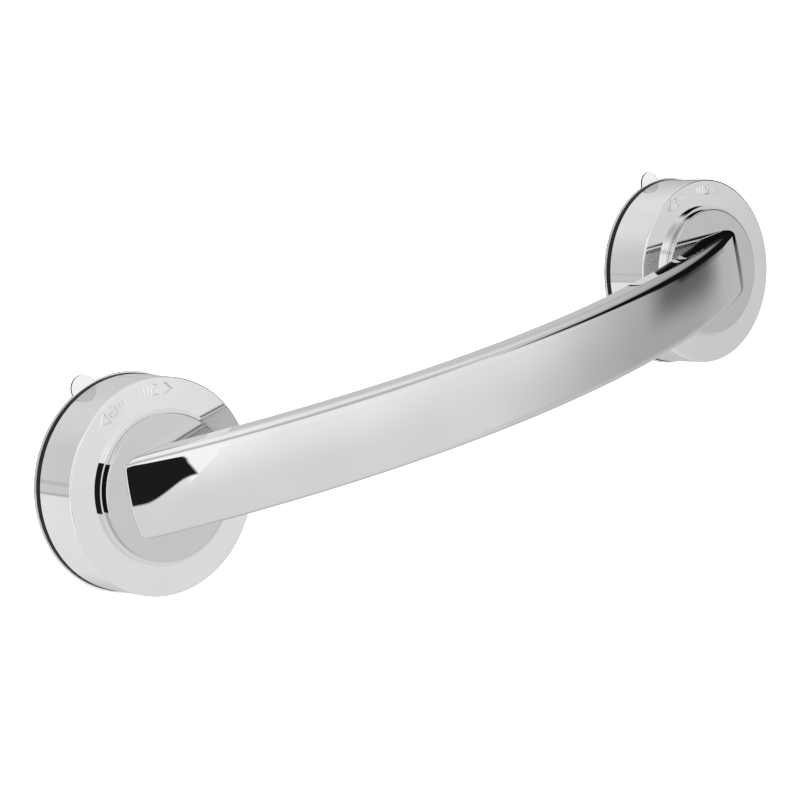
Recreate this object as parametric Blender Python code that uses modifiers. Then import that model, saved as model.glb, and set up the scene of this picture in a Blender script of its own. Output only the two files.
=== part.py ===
"""Suction grab bar: a curved bar carried by two wall cups, each locked by a quarter-turn dial.

Metres, +Z up.  X runs along the bar, the wall is the plane Y = 0 and the room is towards -Y.
The origin is on the wall, halfway between the two cups.

Each cup unit is built about its own axis, in the frame of an empty at the cup's centre: its
local Z is the depth from the wall, local X is world X and local Y is world Z.  The bar is a
section turned about a vertical axis far behind the wall, the centre of its arc.
"""

import math

import bmesh
import bpy
from mathutils import Matrix, Vector

MM = 0.001
GAP = 0.3 * MM  # between pieces that touch on the real object
OVERLAP = 1.0 * MM  # how far a hidden operand runs into or past what it joins or cuts
QUARTER_TURN = math.radians(90.0)
SIDES = {"left": -1, "right": 1}  # the way along X from the middle to each cup

# Driving dimensions; depths are from the wall
CUP_SPACING = 356.8 * MM  # between the two cup axes
CUP_RADIUS = 49.3 * MM
CUP_RIM = 1.3 * MM  # thickness of the cup's rim
CUP_HUB_RADIUS = 20.0 * MM
CUP_HUB_FRONT = 6.6 * MM
CUP_FLARE = 11.5 * MM  # width of the gentle fall at the hub's edge
CUP_FLANK = [(26.0 * MM, 3.4 * MM), (38.0 * MM, 2.6 * MM)]  # (radius, depth) between hub and rim
CUP_HOLLOW = [(40.0 * MM, 0.0), (30.0 * MM, 1.0 * MM), (0.0, 1.4 * MM)]  # behind, from the sealing face in
TAB_REACH = 55.2 * MM  # cup axis to the tip of the release tab
TAB_WIDTH = 12.4 * MM
TAB_TURN = {"left": 15.0, "right": 5.0}  # degrees from the top towards -X
SEAL_RADIUS = 48.9 * MM
SEAL_INNER = 42.3 * MM
DIAL_REAR = 3.6 * MM
DIAL_FRONT = 27.0 * MM
DIAL_RADIUS = 48.0 * MM
DIAL_REAR_RADIUS = 48.3 * MM
DIAL_BORE = 29.4 * MM
DIAL_WALL = 2.1 * MM
COLLAR_RADIUS = 34.4 * MM
CAP_RADIUS = 32.5 * MM
CAP_FRONT = 31.7 * MM
CAP_THICK = 2.2 * MM
BAR_END_X = 200.5 * MM  # where the bar's front face meets the cap's plane
BAR_RISE = 53.4 * MM  # of the bar's front face above the cap's plane, at the middle
BAR_HEIGHT = 37.7 * MM
BAR_THICK = 13.2 * MM
BAR_WALL = 2.2 * MM
BAR_CORNER = 5.0 * MM
BACK_CORNER = 0.9 * MM
BAR_CROWN = 0.45 * MM
LIFT = 3.0 * MM  # travel of the plunger over a quarter turn of the dial

# The lift mechanism
STEM_RADIUS = 6.0 * MM
STEM_FRONT = 23.0 * MM
FOOT_RADIUS = 12.7 * MM
FOOT_REAR = 2.7 * MM
FOOT_FRONT = 4.6 * MM
PLATE_RADIUS = 45.6 * MM
PLATE_REAR = 6.1 * MM
PLATE_THICK = 2.2 * MM
DOME_REAR = 10.2 * MM
DOME_RADIUS = 29.2 * MM
GUIDE_FRONT = 15.4 * MM
YOKE_REAR = 15.9 * MM
YOKE_THICK = 3.0 * MM
YOKE_REACH = 28.5 * MM
YOKE_WIDTH = 9.0 * MM
YOKE_HUB_RADIUS = 10.0 * MM
YOKE_HUB_FRONT = 21.9 * MM
PIN_DEPTH = 19.4 * MM
PIN_RADIUS = 1.25 * MM
RAMP_INNER = 25.2 * MM
RAMP_REAR = 13.4 * MM
RAMP_START = 15.2 * MM  # depth of a ramp's front under the lug when the dial is open
RAMP_STOP = 20.0 * MM  # depth of the stops' front
RAMP_MARGIN = math.radians(20.0)  # of ramp beyond the lug at each end of the travel
RAMP_STEPS = 36
PILLAR_FRONT = 20.0 * MM
PILLAR_RADIUS = 4.4 * MM
PILLAR_X = 11.0 * MM
PILLAR_Y = 16.0 * MM

# Fasteners
SCREW_RADIUS = 1.5 * MM
SCREW_BORE = SCREW_RADIUS + GAP
SCREW_HEAD_RADIUS = 2.9 * MM
SCREW_HEAD = 2.0 * MM
BASE_SCREW_SEAT = 13.0 * MM  # where the base screws' heads stop in the pillars
BASE_SCREW_TIP = 27.5 * MM
BAR_SCREW_HEAD_RADIUS = 3.2 * MM
BAR_SCREW_OUTWARD = 2.1 * MM  # from the cup's axis towards the bar's end
BAR_SCREW_Y = 11.0 * MM
BAR_SCREW_TIP = 37.2 * MM
COVER_SCREW_ANGLES = (-24.8, -9.0, 9.0, 24.8)  # degrees along the bar's arc
COVER_SCREW_REACH = 6.6 * MM  # beyond the cover's inner face
COVER_SEAT = 1.4 * MM  # depth of a screw's seat from the bar's back
COVER_SINK = 0.4 * MM  # how far the cover lies below the shell's edges

# The bar's arc, seen from above
BAR_RADIUS = (BAR_END_X**2 + BAR_RISE**2) / (2.0 * BAR_RISE)
ARC_DEPTH = CAP_FRONT + BAR_RISE - BAR_RADIUS  # of the arc's centre, behind the wall
BAR_BACK = BAR_RADIUS - BAR_THICK
COVER_FRONT = BAR_BACK + BAR_WALL
COVER_HALF = BAR_HEIGHT / 2.0 - BAR_WALL - GAP
BAR_SWEEP = math.radians(31.0)  # each way from the middle, past the cap's plane
BAR_STEPS = 24
BLOCK_START = math.radians(23.2)
BLOCK_STEPS = 6

# Steps round the turned pieces
FINE = 36
MEDIUM = 24
SMALL = 12

for thing in list(bpy.data.objects):
    bpy.data.objects.remove(thing, do_unlink=True)

parts = bpy.data.collections.new("suction_grab_bar")
cutters = bpy.data.collections.new("cutters")
bpy.context.scene.collection.children.link(parts)
bpy.context.scene.collection.children.link(cutters)


# Materials


def plain_material(name, colour, roughness, metallic, alpha=1.0):
    """A Principled material with one colour."""
    made = bpy.data.materials.new(name)
    made.use_nodes = True
    shader = made.node_tree.nodes["Principled BSDF"]
    shader.inputs["Base Color"].default_value = (*colour, 1.0)
    shader.inputs["Roughness"].default_value = roughness
    shader.inputs["Metallic"].default_value = metallic
    shader.inputs["Alpha"].default_value = alpha
    made.diffuse_color = (*colour, alpha)
    return made


CHROME = plain_material("chrome_plate", (0.86, 0.86, 0.87), 0.06, 1.0)
RUBBER = plain_material("black_rubber", (0.02, 0.02, 0.02), 0.55, 0.0)
VINYL = plain_material("clear_vinyl", (0.82, 0.84, 0.84), 0.25, 0.0, 0.5)
PLASTIC = plain_material("grey_plastic", (0.55, 0.56, 0.58), 0.5, 0.0)
ACETAL = plain_material("white_acetal", (0.9, 0.9, 0.88), 0.35, 0.0)
STEEL = plain_material("zinc_steel", (0.6, 0.6, 0.62), 0.3, 1.0)


# Modelling helpers


def add_object(name, mesh, material, parent=None, collection=parts):
    """Link a new object; what isn't in the parts collection is a hidden operand."""
    made = bpy.data.objects.new(name, mesh)
    collection.objects.link(made)
    made.parent = parent
    if material:
        mesh.materials.append(material)
    if collection is cutters:
        made.hide_render = True
        made.display_type = "WIRE"
    return made


def from_bmesh(name, bm, material, parent=None, collection=parts):
    """Turn a finished bmesh into an object."""
    bmesh.ops.recalc_face_normals(bm, faces=bm.faces)
    mesh = bpy.data.meshes.new(name)
    bm.to_mesh(mesh)
    bm.free()
    return add_object(name, mesh, material, parent, collection)


def turned(name, outline, steps, material, parent=None):
    """Turn an outline of (radius, depth) points about the local Z axis.

    An outline that touches the axis starts and ends on it; any other is closed into a ring.
    """
    pairs = zip(outline, outline[1:] + outline[:1])
    area = sum(a[0] * b[1] - b[0] * a[1] for a, b in pairs)
    points = outline[::-1] if area > 0.0 else outline
    edges = [(k, k + 1) for k in range(len(points) - 1)]
    if points[0][0] > 0.0:
        edges.append((len(points) - 1, 0))
    mesh = bpy.data.meshes.new(name)
    mesh.from_pydata([(r, 0.0, z) for r, z in points], edges, [])
    made = add_object(name, mesh, material, parent)
    screw = made.modifiers.new("turn", "SCREW")
    screw.axis = "Z"
    screw.angle = math.tau
    screw.steps = steps
    screw.render_steps = steps
    screw.use_smooth_shade = True
    screw.use_merge_vertices = True
    screw.merge_threshold = 0.00001
    return made


def rods(name, centres, radius, low, high, parent=None, frame=None, sides=SMALL):
    """One hidden operand made of cylinders along the frame's Z axis, from low to high."""
    bm = bmesh.new()
    for x, y in centres:
        place = (frame or Matrix()) @ Matrix.Translation((x, y, (low + high) / 2.0))
        bmesh.ops.create_cone(
            bm, cap_ends=True, segments=sides, radius1=radius, radius2=radius,
            depth=high - low, matrix=place,
        )
    return from_bmesh(name, bm, None, parent, cutters)


def box(name, low, high, material, parent=None, collection=parts, frame=None):
    """A box between two corners of the frame."""
    size = Vector(high) - Vector(low)
    middle = (Vector(high) + Vector(low)) / 2.0
    place = (frame or Matrix()) @ Matrix.Translation(middle) @ Matrix.Diagonal(size.to_4d())
    bm = bmesh.new()
    bmesh.ops.create_cube(bm, size=1.0, matrix=place)
    return from_bmesh(name, bm, material, parent, collection)


def boolean(target, tool, operation):
    """Cut or join with a hidden operand."""
    change = target.modifiers.new(f"{operation.lower()}_{tool.name}", "BOOLEAN")
    change.operation = operation
    change.solver = "EXACT"
    change.object = tool


def cut(target, *tools):
    """Subtract hidden operands."""
    for tool in tools:
        boolean(target, tool, "DIFFERENCE")


def join(target, *tools):
    """Add hidden operands."""
    for tool in tools:
        boolean(target, tool, "UNION")


def screw(name, head_radius, head_rear, head_front, tip, parent=None):
    """A screw along local Z, driven from behind, with a conical socket in its flat head."""
    socket_radius = 0.45 * head_radius
    socket_depth = 0.6 * (head_front - head_rear)
    outline = [
        (0.0, tip), (SCREW_RADIUS, tip - SCREW_RADIUS), (SCREW_RADIUS, head_front),
        (head_radius, head_front), (head_radius, head_rear), (socket_radius, head_rear),
        (0.0, head_rear + socket_depth),
    ]
    return turned(name, outline, SMALL, STEEL, parent)


# One cup unit


def suction_cup(side, unit):
    """Clear cup: a flat sealing rim, a hollow behind, and a hub that grips the plunger's foot."""
    foot, stem, edge = FOOT_RADIUS + GAP, STEM_RADIUS + GAP, 0.4 * MM
    pocket_rear, pocket_front = FOOT_REAR - GAP, FOOT_FRONT + GAP
    outline = [
        (0.0, pocket_rear), (foot, pocket_rear), (foot, pocket_front), (stem, pocket_front),
        (stem, CUP_HUB_FRONT), (CUP_HUB_RADIUS - CUP_FLARE, CUP_HUB_FRONT),
        (CUP_HUB_RADIUS, CUP_HUB_FRONT - edge), *CUP_FLANK,
        (SEAL_INNER - 2.0 * edge, CUP_RIM), (CUP_RADIUS - edge, CUP_RIM),
        (CUP_RADIUS, CUP_RIM - edge), (CUP_RADIUS, 0.0), *CUP_HOLLOW,
    ]
    cup = turned(f"{side}_suction_cup", outline, FINE, VINYL, unit)
    half, tip = TAB_WIDTH / 2.0, TAB_REACH - TAB_WIDTH / 2.0
    root = CUP_RADIUS - 5.0 * MM
    rear, front = 0.15 * MM, CUP_RIM - 0.15 * MM
    frame = Matrix.Rotation(math.radians(TAB_TURN[side]), 4, "Z")
    strip = box(f"{side}_tab_strip", (-half, root, rear), (half, tip, front), None, unit, cutters, frame)
    slack = 0.02 * MM  # keeps the lobe's flat sides off the strip's
    lobe = rods(f"{side}_tab_lobe", [(0.0, tip)], half, rear + slack, front - slack, unit, frame, MEDIUM)
    join(cup, strip, lobe)


def rim_seal(side, unit):
    """Black ring that backs the cup's rim and closes the slot under the dial."""
    rear, front, edge = CUP_RIM + GAP, DIAL_REAR - 0.5 * MM, 0.5 * MM
    outline = [
        (SEAL_RADIUS - edge, front), (SEAL_RADIUS, front - edge), (SEAL_RADIUS, rear + edge),
        (SEAL_RADIUS - edge, rear), (SEAL_INNER, rear), (SEAL_INNER, front),
    ]
    turned(f"{side}_rim_seal", outline, FINE, RUBBER, unit)


def pillar_centres():
    """Where the four base screws stand, in the unit's frame."""
    return [(sx * PILLAR_X, sy * PILLAR_Y) for sx in (-1, 1) for sy in (-1, 1)]


def base_plate(side, unit):
    """Rigid plate behind the dial: a domed disc, a guide for the stem and four screw pillars."""
    bore = STEM_RADIUS + 0.35 * MM
    guide = bore + PLATE_THICK
    plate_front, dome_front = PLATE_REAR + PLATE_THICK, DOME_REAR + PLATE_THICK
    dome_inner = DOME_RADIUS - PLATE_THICK
    outline = [
        (PLATE_RADIUS, plate_front), (PLATE_RADIUS, PLATE_REAR), (dome_inner, PLATE_REAR),
        (dome_inner, DOME_REAR), (bore, DOME_REAR), (bore, GUIDE_FRONT), (guide, GUIDE_FRONT),
        (guide, dome_front), (DOME_RADIUS, dome_front), (DOME_RADIUS, plate_front),
    ]
    plate = turned(f"{side}_base_plate", outline, MEDIUM, PLASTIC, unit)
    centres = pillar_centres()
    head = SCREW_HEAD_RADIUS + GAP
    join(plate, rods(f"{side}_pillars", centres, PILLAR_RADIUS, dome_front - OVERLAP, PILLAR_FRONT, unit))
    cut(
        plate,
        rods(f"{side}_pillar_bores", centres, SCREW_BORE, 0.0, PILLAR_FRONT + OVERLAP, unit),
        rods(f"{side}_pillar_seats", centres, head, DOME_REAR - OVERLAP, BASE_SCREW_SEAT, unit),
    )


def cross_hole(side, piece, unit):
    """Hidden operand for the cross pin's hole, along local Y."""
    frame = Matrix.Translation((0.0, 0.0, PIN_DEPTH)) @ Matrix.Rotation(QUARTER_TURN, 4, "X")
    reach = YOKE_HUB_RADIUS + OVERLAP
    return rods(f"{side}_{piece}_pin_hole", [(0.0, 0.0)], PIN_RADIUS + GAP, -reach, reach, unit, frame)


def plunger(side, unit):
    """Stem whose foot is held in the cup's hub; it draws the cup's middle off the wall."""
    edge = 0.8 * MM
    outline = [
        (0.0, STEM_FRONT), (STEM_RADIUS - edge, STEM_FRONT), (STEM_RADIUS, STEM_FRONT - edge),
        (STEM_RADIUS, FOOT_FRONT), (FOOT_RADIUS, FOOT_FRONT), (FOOT_RADIUS, FOOT_REAR),
        (0.0, FOOT_REAR),
    ]
    stem = turned(f"{side}_plunger", outline, MEDIUM, ACETAL, unit)
    cut(stem, cross_hole(side, "stem", unit))


def lift_yoke(side, unit):
    """Cross arm pinned to the stem; its two ends ride on the dial's ramps."""
    half, middle = YOKE_WIDTH / 2.0, [(0.0, 0.0)]
    low, high = (-YOKE_REACH, -half, YOKE_REAR), (YOKE_REACH, half, YOKE_REAR + YOKE_THICK)
    yoke = box(f"{side}_lift_yoke", low, high, STEEL, unit)
    rear, front = YOKE_REAR - 0.2 * MM, YOKE_HUB_FRONT
    hub = rods(f"{side}_yoke_hub", middle, YOKE_HUB_RADIUS, rear, front, unit, sides=MEDIUM)
    bore = rods(f"{side}_yoke_bore", middle, STEM_RADIUS + GAP, 0.0, DIAL_FRONT, unit, sides=MEDIUM)
    join(yoke, hub)
    cut(yoke, bore, cross_hole(side, "yoke", unit))


def yoke_pin(side, unit):
    """Cross pin through the yoke's hub and the stem."""
    half, edge = YOKE_HUB_RADIUS - 0.4 * MM, 0.3 * MM
    outline = [
        (0.0, half), (PIN_RADIUS - edge, half), (PIN_RADIUS, half - edge),
        (PIN_RADIUS, edge - half), (PIN_RADIUS - edge, -half), (0.0, -half),
    ]
    pin = turned(f"{side}_yoke_pin", outline, SMALL, STEEL, unit)
    pin.location = (0.0, 0.0, PIN_DEPTH)
    pin.rotation_euler = (QUARTER_TURN, 0.0, 0.0)


def ramp_front(turn):
    """Depth of the ramp ring's front at an angle anticlockwise from a lug, seen from the room."""
    rounding = 1e-6
    turn = (turn + RAMP_MARGIN + rounding) % math.pi - RAMP_MARGIN - rounding
    if turn <= QUARTER_TURN + RAMP_MARGIN + rounding:
        return RAMP_START + LIFT * turn / QUARTER_TURN
    return RAMP_STOP


def ramp_ring(side, unit):
    """Hidden operand: a ring with two rising ramps and the stops between them."""
    outer = DIAL_BORE + DIAL_WALL / 2.0
    corners = [(RAMP_INNER, RAMP_REAR), (outer, RAMP_REAR), (outer, RAMP_STOP), (RAMP_INNER, RAMP_STOP)]
    bm = bmesh.new()
    section = [bm.verts.new((r, 0.0, z)) for r, z in corners]
    loop = [bm.edges.new((section[k - 1], section[k])) for k in range(len(section))]
    bmesh.ops.spin(
        bm, geom=section + loop, cent=(0.0, 0.0, 0.0), axis=(0.0, 0.0, 1.0),
        angle=math.tau, steps=RAMP_STEPS, use_merge=True,
    )
    for corner_point in bm.verts:
        if corner_point.co.z > (RAMP_REAR + RAMP_STOP) / 2.0:
            corner_point.co.z = ramp_front(math.atan2(corner_point.co.y, corner_point.co.x))
    return from_bmesh(f"{side}_ramp_ring", bm, None, unit, cutters)


def lock_dial(side, unit):
    """Plated dial: skirt, face and an inner tube that carries the ramps."""
    washer_seat = 33.8 * MM
    seat_rear = DIAL_FRONT - 1.0 * MM
    tube_rear, tube_outer = RAMP_REAR - 0.2 * MM, DIAL_BORE + DIAL_WALL
    skirt_inner, face_rear = DIAL_REAR_RADIUS - DIAL_WALL, DIAL_FRONT - DIAL_WALL
    taper = DIAL_REAR_RADIUS - DIAL_RADIUS
    round_edge = 0.8 * MM
    outline = [
        (DIAL_RADIUS - round_edge, DIAL_FRONT), (DIAL_RADIUS - 0.2 * MM, DIAL_FRONT - 0.25 * MM),
        (DIAL_RADIUS, DIAL_FRONT - round_edge), (DIAL_REAR_RADIUS, DIAL_REAR),
        (skirt_inner, DIAL_REAR), (skirt_inner - taper, face_rear), (tube_outer, face_rear),
        (tube_outer, tube_rear), (DIAL_BORE, tube_rear), (DIAL_BORE, seat_rear),
        (washer_seat, seat_rear), (washer_seat, DIAL_FRONT),
    ]
    dial = turned(f"{side}_lock_dial", outline, FINE, CHROME, unit)
    join(dial, ramp_ring(side, unit))


def slip_washer(side, unit):
    """Low-friction washer between the dial's face and the collar."""
    inner, outer, rear = DIAL_BORE + 0.5 * MM, 33.5 * MM, DIAL_FRONT - 0.7 * MM
    outline = [(outer, DIAL_FRONT), (outer, rear), (inner, rear), (inner, DIAL_FRONT)]
    turned(f"{side}_slip_washer", outline, MEDIUM, ACETAL, unit)


def boss_collar(side, unit):
    """Plated collar that holds the dial down; its spigot centres the dial's bore."""
    rear, front = DIAL_FRONT + GAP, CAP_FRONT - CAP_THICK - GAP
    spigot, inner, spigot_rear = DIAL_BORE - 0.5 * MM, 26.7 * MM, 22.8 * MM
    edge = 0.3 * MM
    outline = [
        (COLLAR_RADIUS - edge, front), (COLLAR_RADIUS, front - edge), (COLLAR_RADIUS, rear),
        (spigot, rear), (spigot, spigot_rear), (inner, spigot_rear), (inner, front),
    ]
    turned(f"{side}_boss_collar", outline, FINE, CHROME, unit)


def bar_screw_centres(side):
    """The two screws that hold the bar's end to the cap, in the unit's frame."""
    return [(SIDES[side] * BAR_SCREW_OUTWARD, sy * BAR_SCREW_Y) for sy in (-1, 1)]


def boss_cap(side, unit):
    """Plated cap that carries the bar; four bosses behind it stand on the plate's pillars."""
    rear, edge = CAP_FRONT - CAP_THICK, 0.4 * MM
    ring_outer, ring_inner, ring_rear = 26.3 * MM, 24.3 * MM, 27.5 * MM
    outline = [
        (0.0, CAP_FRONT), (CAP_RADIUS - edge, CAP_FRONT), (CAP_RADIUS, CAP_FRONT - edge),
        (CAP_RADIUS, rear), (ring_outer, rear), (ring_outer, ring_rear), (ring_inner, ring_rear),
        (ring_inner, rear), (0.0, rear),
    ]
    cap = turned(f"{side}_boss_cap", outline, FINE, CHROME, unit)
    centres, through = pillar_centres(), bar_screw_centres(side)
    boss_rear, bore_front = PILLAR_FRONT + GAP, BASE_SCREW_TIP + OVERLAP
    join(cap, rods(f"{side}_cap_bosses", centres, PILLAR_RADIUS, boss_rear, rear + OVERLAP, unit))
    cut(
        cap,
        rods(f"{side}_cap_bores", centres, SCREW_BORE, boss_rear - OVERLAP, bore_front, unit),
        rods(f"{side}_cap_bar_bores", through, SCREW_BORE, rear - OVERLAP, CAP_FRONT + OVERLAP, unit),
    )


def unit_screws(side, unit):
    """Four screws from the plate into the cap, and two from the cap into the bar's end block."""
    seat = BASE_SCREW_SEAT - GAP
    for number, (x, y) in enumerate(pillar_centres(), 1):
        name = f"{side}_base_screw_{number}"
        made = screw(name, SCREW_HEAD_RADIUS, seat - SCREW_HEAD, seat, BASE_SCREW_TIP, unit)
        made.location = (x, y, 0.0)
    seat = CAP_FRONT - CAP_THICK - GAP
    for number, (x, y) in enumerate(bar_screw_centres(side), 1):
        name = f"{side}_bar_screw_{number}"
        made = screw(name, BAR_SCREW_HEAD_RADIUS, seat - SCREW_HEAD, seat, BAR_SCREW_TIP, unit)
        made.location = (x, y, 0.0)


def unit_frame(side):
    """Place of a cup unit: local Z is the depth from the wall, local Y is up."""
    place = Matrix.Translation((SIDES[side] * CUP_SPACING / 2.0, 0.0, 0.0))
    return place @ Matrix.Rotation(QUARTER_TURN, 4, "X")


def cup_unit(side):
    """All the pieces about one cup's axis."""
    unit = bpy.data.objects.new(f"{side}_unit", None)
    parts.objects.link(unit)
    unit.matrix_world = unit_frame(side)
    for build in (
        suction_cup, rim_seal, base_plate, plunger, lift_yoke, yoke_pin,
        lock_dial, slip_washer, boss_collar, boss_cap, unit_screws,
    ):
        build(side, unit)


# The bar


def radial_frame(turn):
    """A frame at the arc's centre whose local Z points out through the bar at this angle."""
    outward = Vector((math.sin(turn), -math.cos(turn), 0.0))
    up = Vector((0.0, 0.0, 1.0))
    axes = Matrix((up.cross(outward), up, outward)).transposed().to_4x4()
    return Matrix.Translation((0.0, -ARC_DEPTH, 0.0)) @ axes


def corner(centre, radius, start, points=4):
    """A quarter of a circle, anticlockwise from the start angle, in the section's plane."""
    angles = [start + QUARTER_TURN * k / (points - 1) for k in range(points)]
    return [(centre[0] + radius * math.cos(t), centre[1] + radius * math.sin(t)) for t in angles]


def swept(name, section, start, end, steps, material):
    """Turn a (radius, height) section about the arc's centre into a solid with flat ends."""
    bm = bmesh.new()
    frame = radial_frame(start)
    face = bm.faces.new([bm.verts.new(frame @ Vector((0.0, z, r))) for r, z in section])
    bmesh.ops.spin(
        bm, geom=[face, *face.edges, *face.verts], cent=frame.translation, axis=(0.0, 0.0, 1.0),
        angle=end - start, steps=steps,
    )
    bmesh.ops.remove_doubles(bm, verts=bm.verts, dist=0.000001)
    return from_bmesh(name, bm, material)


def shell_section():
    """Outline of the front shell: a channel with a rounded front, open behind."""
    half = BAR_HEIGHT / 2.0
    flat, back_flat = half - BAR_CORNER, half - BACK_CORNER
    face = BAR_RADIUS - BAR_CROWN
    front_centre, back_centre = face - BAR_CORNER, BAR_BACK + BACK_CORNER
    bevel = 2.2 * MM
    inner_front, inner_half = BAR_RADIUS - BAR_WALL, half - BAR_WALL
    crown = [
        (BAR_RADIUS - BAR_CROWN / 4.0, -flat / 2.0), (BAR_RADIUS, 0.0),
        (BAR_RADIUS - BAR_CROWN / 4.0, flat / 2.0),
    ]
    outer = [
        (BAR_BACK, -inner_half), *corner((back_centre, -back_flat), BACK_CORNER, math.pi),
        *corner((front_centre, -flat), BAR_CORNER, -QUARTER_TURN), *crown,
        *corner((front_centre, flat), BAR_CORNER, 0.0),
        *corner((back_centre, back_flat), BACK_CORNER, QUARTER_TURN), (BAR_BACK, inner_half),
    ]
    hollow = [(inner_front - bevel, inner_half), (inner_front, inner_half - bevel)]
    return outer + hollow + [(r, -z) for r, z in reversed(hollow)]


def block_section():
    """Outline of the end blocks, which fill the shell's hollow."""
    low, high = COVER_FRONT + GAP, BAR_RADIUS - BAR_WALL - GAP
    half, bevel = BAR_HEIGHT / 2.0 - BAR_WALL - 2.0 * GAP, 2.4 * MM
    upper = [(high, half - bevel), (high - bevel, half), (low + bevel, half), (low, half - bevel)]
    return [(r, -z) for r, z in reversed(upper)] + upper


def cover_screw(number, turn, shell, cover, blocks):
    """One screw through the back cover, into an end block or a boss of the shell."""
    name, frame, middle = f"cover_screw_{number}", radial_frame(turn), [(0.0, 0.0)]
    seat, outside = BAR_BACK + COVER_SEAT, BAR_BACK - OVERLAP
    tip = COVER_FRONT + COVER_SCREW_REACH
    head = SCREW_HEAD_RADIUS + GAP
    cut(
        cover,
        rods(f"{name}_clearance", middle, SCREW_BORE, outside, COVER_FRONT + OVERLAP, frame=frame),
        rods(f"{name}_seat", middle, head, outside, seat, frame=frame),
    )
    bore = rods(f"{name}_bore", middle, SCREW_BORE, BAR_BACK, tip + GAP, frame=frame)
    if abs(turn) > BLOCK_START:
        cut(blocks["right" if turn > 0.0 else "left"], bore)
    else:
        boss_front = BAR_RADIUS - BAR_WALL / 2.0
        boss_radius = 2.4 * SCREW_BORE
        join(shell, rods(f"{name}_boss", middle, boss_radius, COVER_FRONT + GAP, boss_front, frame=frame))
        cut(shell, bore)
    made = screw(name, SCREW_HEAD_RADIUS, BAR_BACK + 0.1 * MM, seat - GAP, tip)
    made.matrix_world = frame


def bar():
    """Front shell, back cover, the two end blocks and the cover's screws."""
    low = (-CUP_SPACING, -CAP_FRONT - GAP, -BAR_HEIGHT)
    high = (CUP_SPACING, CUP_RADIUS, BAR_HEIGHT)
    trim = box("cap_plane_trim", low, high, None, None, cutters)
    shell = swept("bar_front_shell", shell_section(), -BAR_SWEEP, BAR_SWEEP, BAR_STEPS, CHROME)
    cover_back = BAR_BACK + COVER_SINK
    strip = [
        (cover_back, -COVER_HALF), (COVER_FRONT, -COVER_HALF), (COVER_FRONT, COVER_HALF),
        (cover_back, COVER_HALF),
    ]
    cover = swept("bar_back_cover", strip, -BAR_SWEEP, BAR_SWEEP, BAR_STEPS, CHROME)
    blocks = {}
    for side, outward in SIDES.items():
        start, end = sorted((outward * BLOCK_START, outward * BAR_SWEEP))
        blocks[side] = swept(f"{side}_end_block", block_section(), start, end, BLOCK_STEPS, PLASTIC)
    for piece in (shell, cover, *blocks.values()):
        cut(piece, trim)
    for side, block in blocks.items():
        centres, frame = bar_screw_centres(side), unit_frame(side)
        tip = BAR_SCREW_TIP + GAP
        cut(block, rods(f"{side}_block_bores", centres, SCREW_BORE, CAP_FRONT, tip, frame=frame))
    for number, degrees in enumerate(COVER_SCREW_ANGLES, 1):
        cover_screw(number, math.radians(degrees), shell, cover, blocks)


for unit_side in SIDES:
    cup_unit(unit_side)
bar()
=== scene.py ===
"""Looks for the suction grab bar: a curved plated bar between two wall cups with lock dials.

Metres, +Z up.  The wall is the plane Y = 0 and the room is towards -Y.  Each cup unit is made
about its own axis, in a frame whose local Z is the depth from the wall, local X is world X and
local Y is world Z.  The bar's pieces are swept about a vertical axis far behind the wall.
"""

import math

import bmesh
import bpy
from mathutils import Matrix, Vector


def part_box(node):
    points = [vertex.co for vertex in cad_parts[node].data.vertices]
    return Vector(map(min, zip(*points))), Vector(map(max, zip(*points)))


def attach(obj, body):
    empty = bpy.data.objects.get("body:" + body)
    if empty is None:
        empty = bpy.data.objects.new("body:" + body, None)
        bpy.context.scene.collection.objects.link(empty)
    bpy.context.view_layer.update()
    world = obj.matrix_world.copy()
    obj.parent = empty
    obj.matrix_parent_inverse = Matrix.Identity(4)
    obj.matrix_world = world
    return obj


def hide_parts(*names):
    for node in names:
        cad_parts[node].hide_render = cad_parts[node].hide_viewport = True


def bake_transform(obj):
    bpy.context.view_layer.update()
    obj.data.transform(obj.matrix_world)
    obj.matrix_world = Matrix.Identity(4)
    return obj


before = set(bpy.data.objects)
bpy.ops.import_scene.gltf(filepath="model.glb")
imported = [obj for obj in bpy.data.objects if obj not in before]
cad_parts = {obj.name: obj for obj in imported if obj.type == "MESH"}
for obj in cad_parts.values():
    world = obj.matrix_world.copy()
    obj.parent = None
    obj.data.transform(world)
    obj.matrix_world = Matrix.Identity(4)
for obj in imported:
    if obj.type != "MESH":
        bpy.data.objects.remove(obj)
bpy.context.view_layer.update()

MM = 0.001
QUARTER_TURN = math.radians(90.0)
SIDES = ("left", "right")

# Camera
CAMERA_AIM = Vector((-13.66 * MM, 6.84 * MM, -13.39 * MM))
CAMERA_DISTANCE = 1159.8 * MM
CAMERA_AZIMUTH = math.radians(-38.563)  # from the front, towards +X
CAMERA_ELEVATION = math.radians(13.316)
CAMERA_ROLL = math.radians(-11.4)
CAMERA_LENS = 106.94

# Stage
FLOOR_DROP = 1.0  # the bar hangs about a metre above the floor
FLOOR_SIZE = 16.0
WHITE = 1.15  # brightness of the floor and the backdrop
ROOM_GAIN = 0.76  # of the studio's light against the tones given below

# Dark cloth beside the camera, laid out round the stretch of the bar that mirrors it, in degrees
CARD_DISTANCE = 0.45
CARD_TURNS = (40.0, 140.0)  # from the front towards +X
CARD_UPS = (-10.0, 42.0)
CARD_COLUMNS = 150
CARD_ROWS = 104
CARD_ARC = (-5.0, 26.0)  # that stretch of the bar's arc
MIRROR_START = 44.0  # the bearing mirrored at the arc's middle, chosen to suit the whole stretch
MIRROR_HEIGHT = 15.0 * MM  # of the bar's line that mirrors the cloth
CLOTH_GLOW = 0.006

# Finish of the plated pieces
PLATE_COLOUR = (0.87, 0.872, 0.876)
DIAL_PAINTED_HIGHLIGHT = 1.08  # painted light: the dials' plating is a brighter copy of the bar's plating, a painted highlight, and the caps' plating is a darker copy, painted shade
CAP_PAINTED_SHADE = 0.86

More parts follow.
